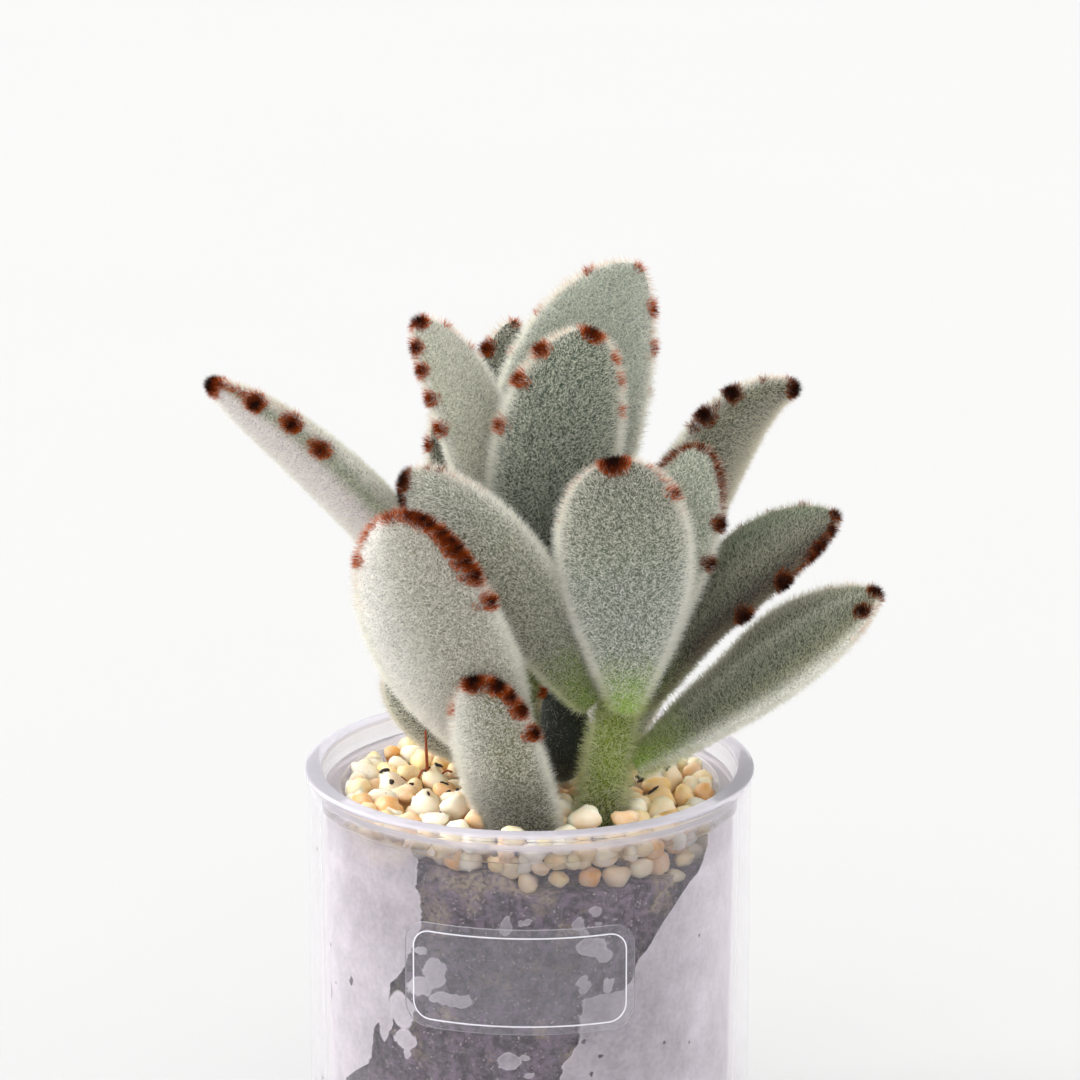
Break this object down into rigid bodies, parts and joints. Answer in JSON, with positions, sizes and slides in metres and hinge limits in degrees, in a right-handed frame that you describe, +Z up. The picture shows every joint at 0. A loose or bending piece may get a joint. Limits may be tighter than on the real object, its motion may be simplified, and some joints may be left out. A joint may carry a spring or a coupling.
{
  "type": "potted succulent plant",
  "caption": "Small felted rosette succulent on two short stems, in cream gravel over soil, in a clear round cup with an inner liner and a blank label.",
  "frame": {"origin": "centre of the outer cup's flat underside, on the surface it stands on", "axes": "+Z up along the cup's axis, +X to the right and -Y towards the viewer, who faces the label"},
  "size_m": [0.0956, 0.066, 0.1378],
  "materials": {
    "clear_cup": "clear, smooth and glossy with a faint grey-violet tint at its edges",
    "clear_liner": "clear, misted inside with damp",
    "label_film": "clear film with a thin white border, left blank",
    "dark_soil": "moist peat soil with pale grains, dull",
    "cream_gravel": "smooth rounded pebbles, cream, pale yellow and tan, dull with a slight sheen",
    "green_stem": "yellow-green under long pale hairs",
    "felted_leaf": "grey-green flesh under dense silver felt, with rust-brown tufts on the teeth"
  },
  "bodies": {
    "root": {"cup_outer": "clear_cup", "liner": "clear_liner", "label": "label_film", "soil": "dark_soil", "gravel": "cream_gravel", "stem_front": "green_stem", "stem_back": "green_stem", "leaf_front_round": "felted_leaf", "leaf_front_right": "felted_leaf", "leaf_middle_left": "felted_leaf", "leaf_low_right": "felted_leaf", "leaf_right": "felted_leaf", "leaf_upper_right": "felted_leaf", "leaf_small_front": "felted_leaf", "leaf_big_left": "felted_leaf", "leaf_dark_inner": "felted_leaf", "leaf_far_left": "felted_leaf", "leaf_centre_tall": "felted_leaf", "leaf_back_tallest": "felted_leaf", "leaf_upper_left": "felted_leaf", "leaf_behind_left": "felted_leaf", "leaf_back_left": "felted_leaf", "leaf_back_tip": "felted_leaf", "leaf_behind_stem": "felted_leaf", "leaf_young_left": "felted_leaf"}
  },
  "joints": []
}
